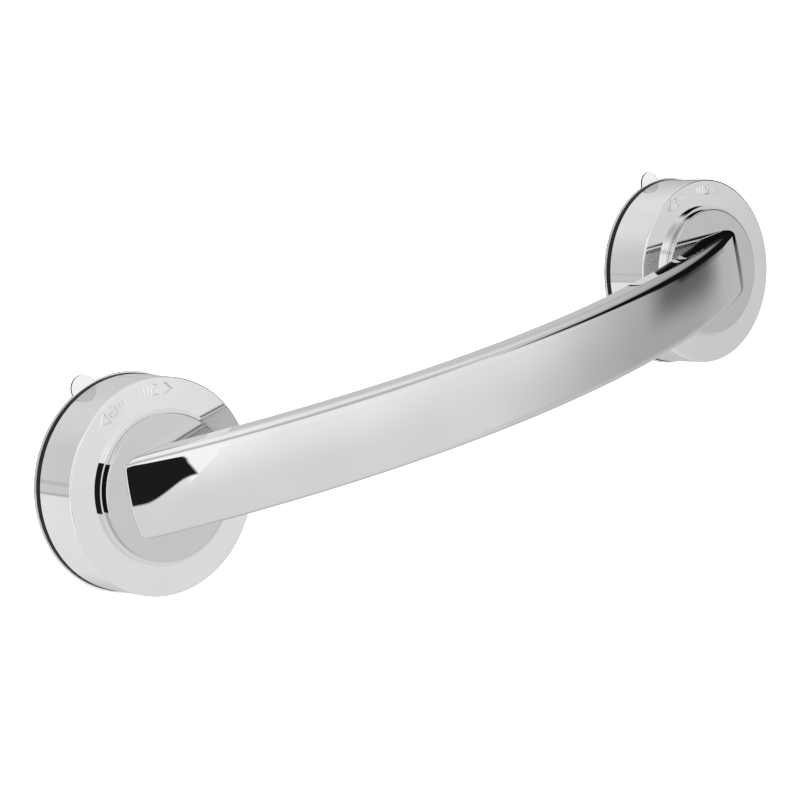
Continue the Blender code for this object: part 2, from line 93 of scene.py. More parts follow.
# Steps round the turned pieces and along the bar
FINE = 192
MEDIUM = 96
SMALL = 32
SWEEP_STEPS = 120
ARC_STEPS = 8  # in a rounded edge
SUPPORT = 0.06 * MM  # a narrow flat each side of a rounded edge keeps the faces beside it flat


def half_width(node):
    """Half of a CAD node's width along X: the radius of a piece turned about a cup's axis."""
    low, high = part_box(node)
    return (high.x - low.x) / 2.0


def front_of(node):
    """Depth of a CAD node's front from the wall."""
    return -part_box(node)[0].y


def rear_of(node):
    """Depth of a CAD node's back from the wall."""
    return -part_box(node)[1].y


def axis_place(node):
    """The frame on a CAD node's axis, with local Z the depth from the wall."""
    low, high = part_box(node)
    centre = (low + high) / 2.0
    return Matrix.Translation((centre.x, 0.0, centre.z)) @ Matrix.Rotation(QUARTER_TURN, 4, "X")


# Mesh making


def rounded(corners, closed=True):
    """An outline with rounded corners, from (x, y, radius) points."""
    points = []
    count = len(corners)
    for k, (x, y, radius) in enumerate(corners):
        here = Vector((x, y))
        if radius <= 0.0 or (not closed and k in (0, count - 1)):
            points.append(here)
            continue
        back = (Vector(corners[k - 1][:2]) - here).normalized()
        ahead = (Vector(corners[(k + 1) % count][:2]) - here).normalized()
        opening = back.angle(ahead)
        reach = radius / math.tan(opening / 2.0)
        middle = here + (back + ahead).normalized() * radius / math.sin(opening / 2.0)
        start, end = here + back * reach - middle, here + ahead * reach - middle
        turn = start.angle_signed(end)
        points.append(here + back * (reach + SUPPORT))
        for step in range(ARC_STEPS + 1):
            angle = -turn * step / ARC_STEPS
            points.append(middle + Matrix.Rotation(angle, 2) @ start)
        points.append(here + ahead * (reach + SUPPORT))
    return [(p.x, p.y) for p in points]


def finish_mesh(name, bm, material, sharp=35.0):
    """Turn a bmesh into a smooth-shaded object with its hard edges marked sharp."""
    bmesh.ops.recalc_face_normals(bm, faces=bm.faces)
    mesh = bpy.data.meshes.new(name)
    bm.to_mesh(mesh)
    bm.free()
    mesh.shade_smooth()
    mesh.set_sharp_from_angle(angle=math.radians(sharp))
    if material:
        mesh.materials.append(material)
    made = bpy.data.objects.new(name, mesh)
    bpy.context.scene.collection.objects.link(made)
    return made


def loft(bm, rows, close_rows=True, close_ends=False):
    """Quads between rows of points; rows that repeat one point end in a fan."""
    made = []
    for row in rows:
        if (Vector(row[0]) - Vector(row[-1])).length < 1e-9 and len(row) > 2:
            made.append([bm.verts.new(row[0])] * len(row))
        else:
            made.append([bm.verts.new(p) for p in row])
    pairs = list(zip(made, made[1:]))
    if close_rows:
        pairs.append((made[-1], made[0]))
    for one, other in pairs:
        count = len(one)
        for k in range(count if close_ends else count - 1):
            ring = [one[k], one[(k + 1) % count], other[(k + 1) % count], other[k]]
            corners = list(dict.fromkeys(ring))
            if len(corners) > 2:
                bm.faces.new(corners)
    return made


def capped_loft(bm, rows):
    """A loft through closed rows, with a face across each end."""
    made = loft(bm, rows, close_rows=False, close_ends=True)
    bm.faces.new(made[0])
    bm.faces.new(made[-1])


def turned(name, outline, steps, material, place):
    """Turn an outline of (radius, depth) points about the local Z axis."""
    bm = bmesh.new()
    angles = [math.tau * k / steps for k in range(steps)]
    rows = []
    for radius, depth in outline:
        if radius < 1e-7:
            rows.append([(0.0, 0.0, depth)] * steps)
        else:
            rows.append([(radius * math.cos(t), radius * math.sin(t), depth) for t in angles])
    loft(bm, rows, close_rows=outline[0][0] > 1e-7, close_ends=True)
    made = finish_mesh(name, bm, material)
    made.matrix_world = place
    return made


def carve(piece, operation, *tools):
    """Cut a piece with other pieces or add them to it, and remove them."""
    for tool in tools:
        change = piece.modifiers.new("carve", "BOOLEAN")
        change.operation = operation
        change.solver = "EXACT"
        change.object = tool
    bpy.context.view_layer.update()
    graph = bpy.context.evaluated_depsgraph_get()
    mesh = bpy.data.meshes.new_from_object(piece.evaluated_get(graph))
    piece.modifiers.clear()
    piece.data = mesh
    mesh.set_sharp_from_angle(angle=math.radians(30.0))
    for tool in tools:
        bpy.data.objects.remove(tool)


def rod(radius, low, high, place):
    """A round bar along a frame's Z axis, to cut or add."""
    outline = [(0.0, low), (radius, low), (radius, high), (0.0, high)]
    return turned("tool", outline, SMALL, None, place)


def plate_bar(name, outline, low, high, material, place):
    """A flat outline of (x, y) points with thickness from low to high along a frame's Z axis."""
    bm = bmesh.new()
    edge = 0.15 * MM
    rows = []
    for depth, inset in ((low, edge), (low + edge, 0.0), (high - edge, 0.0), (high, edge)):
        rows.append([
            (x - math.copysign(inset, x), y - math.copysign(inset, y), depth) for x, y in outline
        ])
    capped_loft(bm, rows)
    piece = finish_mesh(name, bm, material)
    piece.matrix_world = place
    return piece


def stands_for(piece, body, slot, *nodes):
    """Let a piece ride on a body and stand for CAD nodes, which it hides. The slot is not used."""
    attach(piece, body)
    if nodes:
        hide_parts(*nodes)
    return piece


# Materials


class Nodes:
    """A small builder for one material's or the world's node tree."""

    def __init__(self, tree):
        self.tree = tree

    def feed(self, node, inputs):
        """Link sockets to a node's inputs, and set the inputs that get plain values."""
        for key, value in inputs.items():
            if isinstance(value, bpy.types.NodeSocket):
                self.tree.links.new(value, node.inputs[key])
            else:
                node.inputs[key].default_value = value

    def add(self, kind, inputs=None, **settings):
        """Add a node, set its settings and feed its inputs."""
        node = self.tree.nodes.new(kind)
        for key, value in settings.items():
            setattr(node, key, value)
        self.feed(node, inputs or {})
        return node

    def math(self, operation, first, second=0.0):
        """A Math node's result."""
        return self.add("ShaderNodeMath", {0: first, 1: second}, operation=operation).outputs[0]

    def smooth(self, value, start, end, low=0.0, high=1.0):
        """A smooth step from low to high as the value goes from start to end."""
        inputs = {"Value": value, 1: start, 2: end, 3: low, 4: high}
        return self.add("ShaderNodeMapRange", inputs, interpolation_type="SMOOTHSTEP").outputs[0]

    def noise(self, vector, scale, detail=3.0, roughness=0.5):
        """A noise texture's value."""
        inputs = {"Vector": vector, "Scale": scale, "Detail": detail, "Roughness": roughness}
        return self.add("ShaderNodeTexNoise", inputs).outputs[0]

    def colours(self, value, *stops):
        """A colour ramp through (position, colour) stops."""
        ramp = self.add("ShaderNodeValToRGB", {0: value})
        elements = ramp.color_ramp.elements
        while len(elements) < len(stops):
            elements.new(0.5)
        for element, (position, colour) in zip(elements, stops):
            element.position = position
            element.color = (*colour, 1.0)
        return ramp.outputs[0]


def new_material(name):
    """A material with its node builder, shader and object coordinates."""
    made = bpy.data.materials.new(name)
    made.use_nodes = True
    nodes = Nodes(made.node_tree)
    shader = made.node_tree.nodes["Principled BSDF"]
    where = nodes.add("ShaderNodeTexCoord").outputs["Object"]
    return made, nodes, shader, where


def tinted(colour, factor):
    """A colour made lighter or darker."""
    return tuple(min(1.0, c * factor) for c in colour)


def bump(nodes, height, distance, normal=None):
    """A bump node's normal for a height of 0 to 1 times the distance."""
    inputs = {"Height": height, "Distance": distance, "Strength": 1.0}
    if normal:
        inputs["Normal"] = normal
    return nodes.add("ShaderNodeBump", inputs).outputs[0]


def plated(name, colour, dullness=0.0, metallic=1.0):
    """Plating on plastic, bright or dulled: slight waves, faint wiping marks and a few specks."""
    made, nodes, shader, where = new_material(name)
    waves = nodes.noise(where, 45.0, 1.0)
    orange_peel = nodes.noise(where, 900.0, 2.0)
    smudges = nodes.noise(where, 60.0, 6.0, 0.65)
    specks = nodes.noise(where, 2600.0, 2.0, 0.7)
    tint = nodes.noise(where, 25.0, 3.0)
    low, high = tinted(colour, 0.97), tinted(colour, 1.02)
    wiped = nodes.smooth(smudges, 0.5, 0.78, dullness + 0.004, dullness * 1.3 + 0.03)
    dusty = nodes.smooth(specks, 0.74, 0.82, 0.0, 0.02)
    rolling = bump(nodes, waves, 0.035 * MM)
    nodes.feed(shader, {
        "Base Color": nodes.colours(tint, (0.3, low), (0.7, high)),
        "Metallic": metallic,
        "Roughness": nodes.math("ADD", wiped, dusty),
        "Normal": bump(nodes, orange_peel, 0.00025 * MM, rolling),
    })
    return made


def moulded(name, colour, roughness, grain=1.0):
    """Plain moulded plastic with a fine spark-eroded grain and slight colour drift."""
    made, nodes, shader, where = new_material(name)
    drift = nodes.noise(where, 30.0, 4.0)
    speckle = nodes.noise(where, 1500.0, 3.0, 0.6)
    low, high = tinted(colour, 0.88), tinted(colour, 1.08)
    nodes.feed(shader, {
        "Base Color": nodes.colours(drift, (0.3, low), (0.7, high)),
        "Roughness": nodes.smooth(speckle, 0.3, 0.7, roughness - 0.08, roughness + 0.1),
        "Normal": bump(nodes, speckle, 0.02 * MM * grain),
    })
    return made


def gloss_black(name):
    """Glossy black rubber with a light bloom and fine pits."""
    made, nodes, shader, where = new_material(name)
    bloom = nodes.noise(where, 70.0, 5.0, 0.6)
    pits = nodes.noise(where, 1400.0, 3.0, 0.6)
    nodes.feed(shader, {
        "Base Color": nodes.colours(bloom, (0.35, (0.004, 0.004, 0.005)), (0.7, (0.03, 0.03, 0.032))),
        "Roughness": nodes.smooth(bloom, 0.35, 0.7, 0.12, 0.5),
        "Normal": bump(nodes, pits, 0.02 * MM),
        "IOR": 1.42,
        "Specular IOR Level": 0.3,
    })
    return made


def clear_vinyl(name):
    """Soft translucent vinyl, slightly frosted, with faint flow marks."""
    made, nodes, shader, where = new_material(name)
    flow = nodes.noise(where, 55.0, 4.0, 0.55)
    frost = nodes.noise(where, 1100.0, 2.0)
    nodes.feed(shader, {
        "Base Color": nodes.colours(flow, (0.3, (0.74, 0.75, 0.75)), (0.7, (0.82, 0.83, 0.83))),
        "Roughness": nodes.smooth(flow, 0.3, 0.7, 0.03, 0.09),
        "Normal": bump(nodes, frost, 0.01 * MM),
        "Transmission Weight": 1.0,
        "IOR": 1.47,
    })
    return made


def zinc_plated(name):
    """Zinc-plated steel: bluish grey, brushed by the drawing of the wire, with passivation blotches."""
    made, nodes, shader, where = new_material(name)
    blotch = nodes.noise(where, 260.0, 5.0, 0.6)
    stretched = nodes.add("ShaderNodeMapping", {"Vector": where, "Scale": (1.0, 1.0, 0.12)}).outputs[0]
    drawn = nodes.noise(stretched, 2200.0, 2.0)
    grey, pale, yellowed = (0.42, 0.43, 0.45), (0.55, 0.56, 0.57), (0.6, 0.58, 0.5)
    nodes.feed(shader, {
        "Base Color": nodes.colours(blotch, (0.3, grey), (0.55, pale), (0.8, yellowed)),
        "Roughness": nodes.smooth(blotch, 0.3, 0.7, 0.22, 0.42),
        "Normal": bump(nodes, drawn, 0.006 * MM),
        "Metallic": 1.0,
    })
    return made


CHROME = plated("chrome_plate", PLATE_COLOUR)
# The dials' plating: a brighter copy of the bar's plating, a painted highlight
DIAL_CHROME_PAINTED_HIGHLIGHT = plated("dial_plate_painted_highlight", tinted(PLATE_COLOUR, DIAL_PAINTED_HIGHLIGHT))
BACK_CHROME = plated("back_plate", PLATE_COLOUR, dullness=0.26, metallic=0.35)
# The caps' plating: a darker copy of the bar's plating, painted shade
CAP_CHROME_PAINTED_SHADE = plated("cap_plate_painted_shade", tinted(PLATE_COLOUR, CAP_PAINTED_SHADE))
BLACK = gloss_black("black_rubber")
VINYL = clear_vinyl("clear_vinyl")
GREY = moulded("grey_plastic", (0.42, 0.43, 0.45), 0.5)
ACETAL = moulded("white_acetal", (0.82, 0.81, 0.77), 0.36, grain=0.4)
STEEL = zinc_plated("zinc_steel")


# The cup units

DIAL_WALL = 2.1 * MM
DIAL_TAPER = 0.3 * MM  # the dial's side draws in towards its face
DIAL_BORE = 29.4 * MM
RAMP_INNER = 25.2 * MM
COLLAR_GAP = 0.04 * MM  # between the dial's face and the collar
SCREW_BORE = 1.8 * MM  # radius of the holes for screws
SCREW_SEAT = 3.2 * MM  # radius of the recesses for their heads
PILLAR_RADIUS = 4.4 * MM  # of the plate's pillars and the cap's bosses
MARK_RADIUS = 42.9 * MM  # middle of the row of marks
MARK_HEIGHT = 0.28 * MM
MARK_STROKE = 0.95 * MM
MARK_TURN = {"left": 0.0, "right": 5.5}  # how far the right dial sits further round, in degrees
TAB_TURN = {"left": 15.0, "right": 5.0}  # degrees from the top towards -X
TAB_RADIUS = 6.2 * MM
TAB_MIDDLE = 49.0 * MM  # from the cup's axis
TAB_STEPS = 24
RING_INSET = 0.75 * MM  # how far the black ring lies inside the cup's clear rim
LIP_THICK = 0.9 * MM  # of the ring's lip, which sits in a channel of the cup
LIP_GAP = 0.1 * MM
PLATE_RIBS = 12
THREAD_CORE = 1.1 * MM
THREAD_CREST = 1.48 * MM
THREAD_PITCH = 1.3 * MM
THREAD_STEPS = 12  # in one turn
COVER_SCREW_TURNS = (-24.8, -9.0, 9.0, 24.8)  # degrees along the bar's arc


def lock_dial(side, place):
    """Plated dial: rounded face, skirt and inner tube."""
    node = f"{side}_lock_dial"
    rear_radius, front, rear = half_width(node), front_of(node), rear_of(node)
    radius, tube = rear_radius - DIAL_TAPER, DIAL_BORE + DIAL_WALL
    seat_radius, seat = 33.8 * MM, front - 1.0 * MM
    tube_rear, inside = 13.2 * MM, front - DIAL_WALL
    outline = rounded([
        (radius, front, 0.8 * MM), (rear_radius, rear, 0.25 * MM),
        (rear_radius - DIAL_WALL, rear, 0.2 * MM), (radius - DIAL_WALL, inside, 0.8 * MM),
        (tube, inside, 0.6 * MM), (tube, tube_rear, 0.3 * MM), (DIAL_BORE, tube_rear, 0.3 * MM),
        (DIAL_BORE, seat, 0.2 * MM), (seat_radius, seat, 0.1 * MM), (seat_radius, front, 0.15 * MM),
    ])
    piece = turned(f"{side}_dial_shell", outline, FINE, DIAL_CHROME_PAINTED_HIGHLIGHT, place)
    stands_for(piece, f"{side}_dial", "chrome_plate", node)


def dial_ramps(side, place):
    """The two ramps inside the dial's tube, with the stops between them."""
    rear, low, lift, stop = 13.6 * MM, 15.2 * MM, 3.0 * MM, 20.0 * MM
    outer, margin, steps = DIAL_BORE + 0.4 * MM, 20.0, 180
    bm = bmesh.new()
    rows = [[], [], [], []]
    for k in range(steps):
        turn = 360.0 * k / steps
        along = (turn + margin) % 180.0 - margin
        front = low + lift * along / 90.0 if along <= 90.0 + margin else stop
        c, s = math.cos(math.radians(turn)), math.sin(math.radians(turn))
        section = [(RAMP_INNER, rear), (outer, rear), (outer, front), (RAMP_INNER, front)]
        for row, (r, z) in zip(rows, section):
            row.append((r * c, r * s, z))
    loft(bm, rows, close_ends=True)
    piece = finish_mesh(f"{side}_dial_ramps", bm, DIAL_CHROME_PAINTED_HIGHLIGHT, 25.0)
    piece.matrix_world = place
    stands_for(piece, f"{side}_dial", "chrome_plate")


def stroke(bm, points, closed, depth):
    """A raised stroke with sloping sides along points of the dial's face."""
    count = len(points)
    rows = []
    for k, here in enumerate(points):
        before = points[k - 1] if closed or k else None
        after = points[(k + 1) % count] if closed or k < count - 1 else None
        into = (here - before).normalized() if before else (after - here).normalized()
        out = (after - here).normalized() if after else into
        along = (into + out).normalized()
        side = Vector((-along.y, along.x)) / max(0.35, along.dot(into))
        foot, crest = MARK_STROKE / 2.0, MARK_STROKE * 0.12
        flat = [(-foot, -0.05 * MM), (-crest, MARK_HEIGHT), (crest, MARK_HEIGHT), (foot, -0.05 * MM)]
        rows.append([(*(here + side * w), depth + h) for w, h in flat])
    if closed:
        loft(bm, rows, close_ends=True)
    else:
        capped_loft(bm, rows)


def on_face(turn, along, outward):
    """A point of the dial's face: a place on the mark row, then millimetres along and outward."""
    angle = math.radians(turn)
    radius = MARK_RADIUS + outward * MM
    angle += along * MM / MARK_RADIUS
    return Vector((radius * math.sin(angle), radius * math.cos(angle)))


def dial_marks(side, place):
    """Raised marks: an arrow and a padlock for each way of turning, and graduation strokes."""
    depth = front_of(f"{side}_lock_dial")
    bm = bmesh.new()
    start = MARK_TURN[side]

    def line(turn, shape, closed=False):
        stroke(bm, [on_face(start + turn, along, outward) for along, outward in shape], closed, depth)

    def padlock(turn, lean):
        body = [(-1.5, -2.2), (1.5, -2.2), (1.5, 0.2), (-1.5, 0.2)]
        line(turn, body, True)
        bow = []
        for angle in range(0, 181, 30):
            t = math.radians(angle)
            bow.append((1.0 * math.cos(t) + lean, 0.9 + 1.1 * math.sin(t)))
        legs = [(1.0 + lean, 0.3), *bow]
        if not lean:
            legs.append((-1.0, 0.3))
        line(turn, legs)

    line(-28.6, [(0.0, -2.5), (-3.8, 0.0), (0.0, 2.5)], True)
    padlock(-24.2, 0.8)
    for turn, reach in ((-20.6, 2.1), (-17.9, 1.7), (-15.2, 1.3)):
        line(turn, [(0.0, -reach), (0.0, reach)])
    for turn, reach in ((-1.4, 1.3), (1.3, 1.7), (4.0, 2.1)):
        line(turn, [(0.0, -reach), (0.0, reach)])
    padlock(8.4, 0.0)
    line(15.0, [(0.0, 2.6), (3.6, 0.0), (0.0, -2.6)])
    piece = finish_mesh(f"{side}_dial_marks", bm, DIAL_CHROME_PAINTED_HIGHLIGHT, 20.0)
    piece.matrix_world = place
    stands_for(piece, f"{side}_dial", "chrome_plate")


def boss(side, place):
    """The collar that holds the dial down and the cap that carries the bar."""
    node = f"{side}_boss_collar"
    radius, front, spigot_rear = half_width(node), front_of(node), rear_of(node)
    rear, spigot, inner = front_of(f"{side}_lock_dial") + COLLAR_GAP, DIAL_BORE - 0.5 * MM, 26.7 * MM
    outline = rounded([
        (radius, front, 0.0), (radius, rear, 0.0), (spigot, rear, 0.0),
        (spigot, spigot_rear, 0.3 * MM), (inner, spigot_rear, 0.3 * MM), (inner, front, 0.2 * MM),
    ])
    stands_for(turned(f"{side}_collar", outline, FINE, CHROME, place), "frame", "chrome_plate", node)
    node = f"{side}_boss_cap"
    radius, front = half_width(node), front_of(node)
    rear, ring_rear, ring_outer, ring_inner = front - 2.35 * MM, front - 4.2 * MM, 26.3 * MM, 24.3 * MM
    outline = rounded([
        (0.0, front, 0.0), (radius, front, 0.7 * MM), (radius, rear, 0.0),
        (ring_outer, rear, 0.15 * MM), (ring_outer, ring_rear, 0.2 * MM),
        (ring_inner, ring_rear, 0.2 * MM), (ring_inner, rear, 0.2 * MM), (0.0, rear, 0.0),
    ], closed=False)
    stands_for(turned(f"{side}_cap", outline, FINE, CAP_CHROME_PAINTED_SHADE, place), "frame", "chrome_plate", node)
    boss_rear, bore_end, root = 20.3 * MM, 28.5 * MM, rear + 0.2 * MM
    for number in range(1, 5):
        here = axis_place(f"{side}_base_screw_{number}")
        tube = rounded([
            (SCREW_BORE, bore_end, 0.0), (SCREW_BORE, boss_rear, 0.2 * MM),
            (PILLAR_RADIUS, boss_rear, 0.3 * MM), (PILLAR_RADIUS, root, 0.0),
        ], closed=False)
        outline = [(0.0, bore_end), *tube, (0.0, root)]
        piece = turned(f"{side}_cap_boss_{number}", outline, SMALL, CHROME, here)
        stands_for(piece, "frame", "chrome_plate")


def rim_seal(side, place):
    """Glossy black ring between the cup and the dial; its lip sits in a channel of the cup."""
    node = f"{side}_rim_seal"
    radius, inner = half_width(f"{side}_suction_cup") - RING_INSET, 42.3 * MM
    front, rear, lip_rear, lip_inner = front_of(node), rear_of(node), 0.3 * MM, radius - LIP_THICK
    outline = rounded([
        (radius, front, 0.4 * MM), (radius, lip_rear, 0.2 * MM), (lip_inner, lip_rear, 0.1 * MM),
        (lip_inner, rear, 0.1 * MM), (inner, rear, 0.3 * MM), (inner, front, 0.3 * MM),
    ])
    stands_for(turned(f"{side}_rim_bead", outline, FINE, BLACK, place), "frame", "black_rubber", node)


def cup_rim(side, radius):
    """The cup's edge as (turn, reach) points: a circle with the round release tab on it."""
    tab = math.radians(90.0 + TAB_TURN[side])
    lobe = []
    for k in range(TAB_STEPS + 1):
        t = math.pi * (2.0 * k / TAB_STEPS - 1.0)
        x, y = TAB_MIDDLE + TAB_RADIUS * math.cos(t), TAB_RADIUS * math.sin(t)
        if math.hypot(x, y) > radius:
            lobe.append((math.atan2(y, x), math.hypot(x, y)))
    edge = lobe[-1][0]
    around = [(edge + (math.tau - 2.0 * edge) * k / FINE, radius) for k in range(1, FINE)]
    return [(tab + turn, reach) for turn, reach in lobe + around]


def follow_plunger(piece):
    """Bake the cup's placement into its mesh."""
    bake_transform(piece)


def suction_cup(side, place):
    """Translucent cup with a release tab and a sealing groove under its rim."""
    node = f"{side}_suction_cup"
    radius = half_width(node)
    rim = cup_rim(side, radius)
    front, channel_rear = 1.3 * MM, 0.2 * MM  # of the rim, and of the channel for the ring's lip
    channel_outer = radius - RING_INSET + LIP_GAP
    channel_inner = radius - RING_INSET - LIP_THICK - LIP_GAP
    fold = (channel_outer + radius) / 2.0  # the outline goes round from here to the rim's edge
    foot, foot_rear, foot_front = 13.0 * MM, 2.4 * MM, 4.9 * MM  # hollow for the plunger's foot
    neck, neck_front = 6.3 * MM, 6.6 * MM
    outline = rounded([
        (0.0, foot_rear, 0.0), (foot, foot_rear, 0.3 * MM), (foot, foot_front, 0.3 * MM),
        (neck, foot_front, 0.3 * MM), (neck, neck_front, 0.3 * MM), (8.5 * MM, neck_front, 0.4 * MM),
        (20.0 * MM, 6.2 * MM, 1.5 * MM), (26.0 * MM, 3.4 * MM, 2.5 * MM), (38.0 * MM, 2.6 * MM, 2.0 * MM),
        (41.5 * MM, front, 1.0 * MM), (channel_inner, front, 0.1 * MM),
        (channel_inner, channel_rear, 0.0), (channel_outer, channel_rear, 0.0),
        (channel_outer, front, 0.1 * MM), (fold, front, 0.0),
    ], closed=False)
    rounding = 0.12 * MM
    edges = [(rounding, 1.2 * MM), (0.0, 0.75 * MM), (rounding, 0.15 * MM)]  # (inset, depth)
    groove_outer, groove_inner, groove = 45.5 * MM, 43.9 * MM, 0.3 * MM
    under = rounded([
        (fold, 0.0, 0.0), (groove_outer, 0.0, 0.2 * MM), (groove_outer - groove, groove, 0.1 * MM),
        (groove_inner + groove, groove, 0.1 * MM), (groove_inner, 0.0, 0.2 * MM),
        (40.0 * MM, 0.0, 1.0 * MM), (30.0 * MM, 1.0 * MM, 4.0 * MM), (0.0, 1.4 * MM, 0.0),
    ], closed=False)
    bm = bmesh.new()
    rows = []
    for r, z in outline:
        rows.append([(r * math.cos(t), r * math.sin(t), z) for t, _ in rim])
    for inset, z in edges:
        rows.append([
            ((reach - inset) * math.cos(t), (reach - inset) * math.sin(t), z) for t, reach in rim
        ])
    for r, z in under:
        rows.append([(r * math.cos(t), r * math.sin(t), z) for t, _ in rim])
    loft(bm, rows, close_rows=False, close_ends=True)
    piece = finish_mesh(f"{side}_cup", bm, VINYL, 50.0)
    piece.matrix_world = place
    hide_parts(node)
    follow_plunger(piece)


def base_plate(side, place):
    """Domed plate behind the dial, with stiffening ribs, a guide for the stem and four pillars."""
    node = f"{side}_base_plate"
    radius, rear, pillar_front = half_width(node), rear_of(node), front_of(node)
    thick, dome, dome_rear, bore = 2.2 * MM, 29.2 * MM, rear + 4.1 * MM, 6.35 * MM
    guide, guide_front = bore + thick, 15.4 * MM
    front, dome_front = rear + thick, dome_rear + thick
    outline = rounded([
        (radius, front, 0.4 * MM), (radius, rear, 0.4 * MM), (dome - thick, rear, 0.4 * MM),
        (dome - thick, dome_rear, 0.8 * MM), (bore, dome_rear, 0.3 * MM), (bore, guide_front, 0.3 * MM),
        (guide, guide_front, 0.3 * MM), (guide, dome_front, 0.6 * MM), (dome, dome_front, 0.8 * MM),
        (dome, front, 0.6 * MM),
    ])
    plate = turned(f"{side}_plate", outline, MEDIUM, GREY, place)
    seat, past = 13.0 * MM, 1.0 * MM
    frames = [axis_place(f"{side}_base_screw_{number}") for number in range(1, 5)]
    carve(plate, "DIFFERENCE", *[rod(SCREW_SEAT, dome_rear - past, seat + past, f) for f in frames])
    stands_for(plate, "frame", "grey_plastic", node)
    root = dome_front - 0.3 * MM
    outline = rounded([
        (SCREW_SEAT, root, 0.0), (SCREW_SEAT, seat, 0.1 * MM), (SCREW_BORE, seat, 0.1 * MM),
        (SCREW_BORE, pillar_front, 0.2 * MM), (PILLAR_RADIUS, pillar_front, 0.3 * MM),
        (PILLAR_RADIUS, root, 0.0),
    ])
    for number, here in enumerate(frames, 1):
        stands_for(turned(f"{side}_pillar_{number}", outline, SMALL, GREY, here), "frame", "grey_plastic")
    bm = bmesh.new()
    rib_inner, rib_outer, rib_front = dome - 0.2 * MM, radius - 2.4 * MM, front + 2.6 * MM
    foot, crest, buried = 0.8 * MM, 0.5 * MM, front - 0.2 * MM
    profile = [(rib_inner, rib_front), (rib_outer - 3.0 * MM, rib_front), (rib_outer, front + 0.3 * MM)]
    for k in range(PLATE_RIBS):
        turn = Matrix.Rotation(math.tau * (k + 0.5) / PLATE_RIBS, 4, "Z")
        rows = []
        for r, top in profile:
            section = [(r, -foot, buried), (r, -crest, top), (r, crest, top), (r, foot, buried)]
            rows.append([turn @ Vector(p) for p in section])
        capped_loft(bm, rows)
    ribs = finish_mesh(f"{side}_plate_ribs", bm, GREY)
    ribs.matrix_world = place
    stands_for(ribs, "frame", "grey_plastic")


def lift_gear(side, place):
    """The stem that draws the cup's middle off the wall, its cross arm and the pin through both."""
    body = f"{side}_lifter"
    node = f"{side}_plunger"
    foot, rear, front, stem = half_width(node), rear_of(node), front_of(node), 6.0 * MM
    foot_front = rear + 1.9 * MM
    outline = rounded([
        (0.0, front, 0.0), (stem, front, 0.9 * MM), (stem, foot_front, 0.5 * MM),
        (foot, foot_front, 0.3 * MM), (foot, rear, 0.5 * MM), (0.0, rear, 0.0),
    ], closed=False)
    stands_for(turned(f"{side}_stem", outline, MEDIUM, ACETAL, place), body, "white_acetal", node)
    node = f"{side}_lift_yoke"
    reach, half, hub, hub_rear, front = half_width(node), 4.5 * MM, 10.0 * MM, rear_of(node), front_of(node)
    rear = hub_rear + 0.2 * MM
    corners = [(-reach, -half), (reach, -half), (reach, half), (-reach, half)]
    outline = rounded([(x, y, 1.6 * MM) for x, y in corners])
    thick, clearance, past = 3.0 * MM, 0.3 * MM, 1.0 * MM
    arm = plate_bar(f"{side}_yoke", outline, rear, rear + thick, STEEL, place)
    outline = rounded([
        (0.0, hub_rear, 0.0), (hub, hub_rear, 0.3 * MM), (hub, front, 0.5 * MM), (0.0, front, 0.0),
    ], closed=False)
    carve(arm, "UNION", turned("tool", outline, MEDIUM, None, place))
    carve(arm, "DIFFERENCE", rod(stem + clearance, 0.0, front + past, place))
    stands_for(arm, body, "zinc_steel", node)
    node = f"{side}_yoke_pin"
    low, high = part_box(node)
    centre, half, pin = (low + high) / 2.0, (high.z - low.z) / 2.0, (high.x - low.x) / 2.0
    outline = rounded([
        (0.0, -half, 0.0), (pin, -half, 0.35 * MM), (pin, half, 0.35 * MM), (0.0, half, 0.0),
    ], closed=False)
    piece = turned(f"{side}_pin", outline, SMALL, STEEL, Matrix.Translation(centre))
    stands_for(piece, body, "zinc_steel", node)


def slip_washer(side, place):
    """Low-friction washer between the dial's face and the collar."""
    node = f"{side}_slip_washer"
    radius, front, rear, inner = half_width(node), front_of(node), rear_of(node), DIAL_BORE + 0.5 * MM
    outline = rounded([
        (radius, front, 0.15 * MM), (radius, rear, 0.15 * MM), (inner, rear, 0.15 * MM),
        (inner, front, 0.15 * MM),
    ])
    stands_for(turned(f"{side}_washer", outline, MEDIUM, ACETAL, place), "frame", "white_acetal", node)


# Screws


def cross_recess(head_radius, head_rear, head):
    """Two tapering blades that cut the cross recess."""
    long, wide, front = 0.56 * head_radius, 0.13 * head_radius, head_rear + 0.55 * head
    corners = [(-1.0, -1.0), (1.0, -1.0), (1.0, 1.0), (-1.0, 1.0)]
    blades = []
    for turn in (0.0, QUARTER_TURN):
        rows = []
        for depth, grow in ((head_rear - 0.3 * MM, 1.08), (front, 0.6)):
            rows.append([(x * long * grow, y * wide * (0.5 + grow / 2.0), depth) for x, y in corners])
        bm = bmesh.new()
        capped_loft(bm, rows)
        blade = finish_mesh("tool", bm, None)
        blade.matrix_world = Matrix.Rotation(turn, 4, "Z")
        blades.append(blade)
    return blades


def thread(bm, start, tip, point):
    """A helical ridge on a screw's core, fading in and out and narrowing with the point."""
    core, flank = THREAD_CORE, 0.28 * THREAD_PITCH
    steps = round((tip - 0.4 * core - start) / THREAD_PITCH * THREAD_STEPS)
    rows = []
    for k in range(steps + 1):
        turn, depth = math.tau * k / THREAD_STEPS, start + THREAD_PITCH * k / THREAD_STEPS
        here = core * min(1.0, max(0.2, (tip - depth) / point))
        crest = here + (THREAD_CREST - core) * min(1.0, k / THREAD_STEPS, (steps - k) / THREAD_STEPS)
        buried = here - 0.05 * MM
        section = [(buried, -flank), (crest, 0.0), (buried, flank)]
        rows.append([(r * math.cos(turn), r * math.sin(turn), depth + z) for r, z in section])
    capped_loft(bm, rows)


